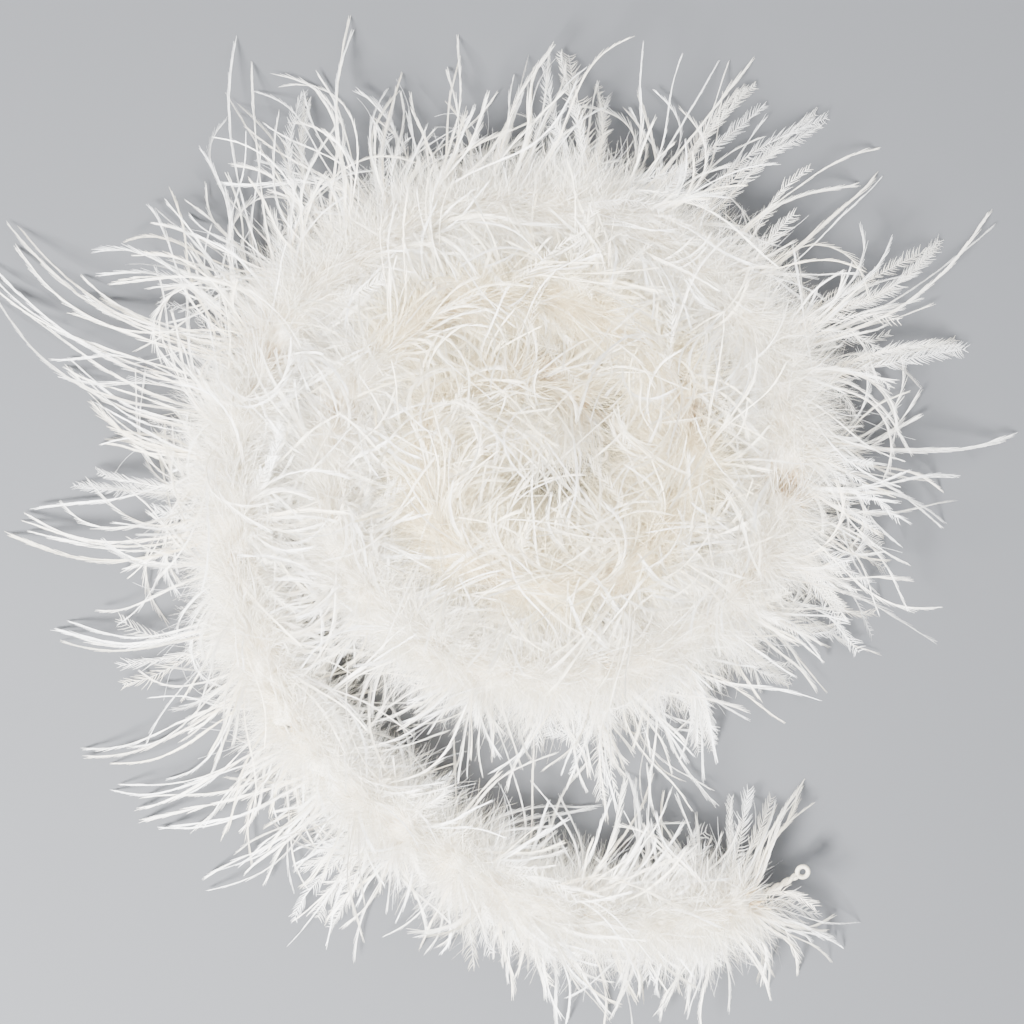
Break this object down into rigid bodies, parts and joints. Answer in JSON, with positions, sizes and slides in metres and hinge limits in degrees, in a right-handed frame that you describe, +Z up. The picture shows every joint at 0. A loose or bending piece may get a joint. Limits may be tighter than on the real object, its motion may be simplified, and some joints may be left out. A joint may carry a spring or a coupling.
{
  "type": "feather boa",
  "caption": "Fluffy white feather boa laid in a loose spiral, with marabou down and long ostrich flues bound round a twisted core cord, its outer tail free to bend and lift.",
  "frame": {"origin": "middle of the laid boa's footprint, on the table", "axes": "+Z up from the table; the spiral is seen from above with +X to the right and +Y away"},
  "size_m": [0.5493, 0.5491, 0.115],
  "materials": {
    "marabou_down": "matte",
    "ostrich_flue": "satin",
    "core_cord": "matte",
    "binding_thread": "satin"
  },
  "bodies": {
    "coil": {"core_cord_coil": "core_cord", "marabou_down_05": "marabou_down", "marabou_down_06": "marabou_down", "marabou_down_07": "marabou_down", "marabou_down_08": "marabou_down", "marabou_down_09": "marabou_down", "marabou_down_10": "marabou_down", "marabou_down_11": "marabou_down", "marabou_down_12": "marabou_down", "marabou_down_13": "marabou_down", "marabou_down_14": "marabou_down", "marabou_down_15": "marabou_down", "marabou_down_16": "marabou_down", "marabou_down_17": "marabou_down", "marabou_down_18": "marabou_down", "marabou_down_19": "marabou_down", "ostrich_flues_05": "ostrich_flue", "ostrich_flues_06": "ostrich_flue", "ostrich_flues_07": "ostrich_flue", "ostrich_flues_08": "ostrich_flue", "ostrich_flues_09": "ostrich_flue", "ostrich_flues_10": "ostrich_flue", "ostrich_flues_11": "ostrich_flue", "ostrich_flues_12": "ostrich_flue", "ostrich_flues_13": "ostrich_flue", "ostrich_flues_14": "ostrich_flue", "ostrich_flues_15": "ostrich_flue", "ostrich_flues_16": "ostrich_flue", "ostrich_flues_17": "ostrich_flue", "ostrich_flues_18": "ostrich_flue", "ostrich_flues_19": "ostrich_flue"},
    "tail_1": {"core_cord_tail_1": "core_cord", "marabou_down_04": "marabou_down", "ostrich_flues_04": "ostrich_flue"},
    "tail_2": {"core_cord_tail_2": "core_cord", "marabou_down_03": "marabou_down", "ostrich_flues_03": "ostrich_flue"},
    "tail_3": {"core_cord_tail_3": "core_cord", "marabou_down_02": "marabou_down", "ostrich_flues_02": "ostrich_flue"},
    "tail_4": {"core_cord_tail_4": "core_cord", "marabou_down_01": "marabou_down", "ostrich_flues_01": "ostrich_flue", "whipping_outer": "binding_thread"},
    "end_loop": {"end_loop_outer": "core_cord"},
    "inner_end": {"core_cord_inner": "core_cord", "marabou_down_20": "marabou_down", "ostrich_flues_20": "ostrich_flue", "ostrich_flues_21": "ostrich_flue", "whipping_inner": "binding_thread", "end_loop_inner": "core_cord"}
  },
  "joints": [
    {"name": "tail_bend_1", "type": "hinge", "parent": "coil", "child": "tail_1", "pos_m": [-0.13903, -0.01881, 0.02], "axis": [0, 0, 1], "range_deg": [-30, 10]},
    {"name": "tail_bend_2", "type": "hinge", "parent": "tail_1", "child": "tail_2", "pos_m": [-0.10689, -0.10712, 0.02], "axis": [0, 0, 1], "range_deg": [-30, 12]},
    {"name": "tail_lift", "type": "hinge", "parent": "tail_2", "child": "tail_3", "pos_m": [-0.03686, -0.17025, 0.02], "axis": [-0.527, -0.8499, 0], "range_deg": [0, 35]},
    {"name": "tail_bend_3", "type": "hinge", "parent": "tail_3", "child": "tail_4", "pos_m": [0.04768, -0.2121, 0.02], "axis": [0, 0, 1], "range_deg": [-35, 24]},
    {"name": "end_loop_swing", "type": "hinge", "parent": "tail_4", "child": "end_loop", "pos_m": [0.14844, -0.20013, 0.02], "axis": [0, 0, 1], "range_deg": [-50, 50]},
    {"name": "inner_end_lift", "type": "hinge", "parent": "coil", "child": "inner_end", "pos_m": [-0.03407, 0.05003, 0.02], "axis": [0.8996, -0.4367, 0], "range_deg": [0, 30]}
  ]
}
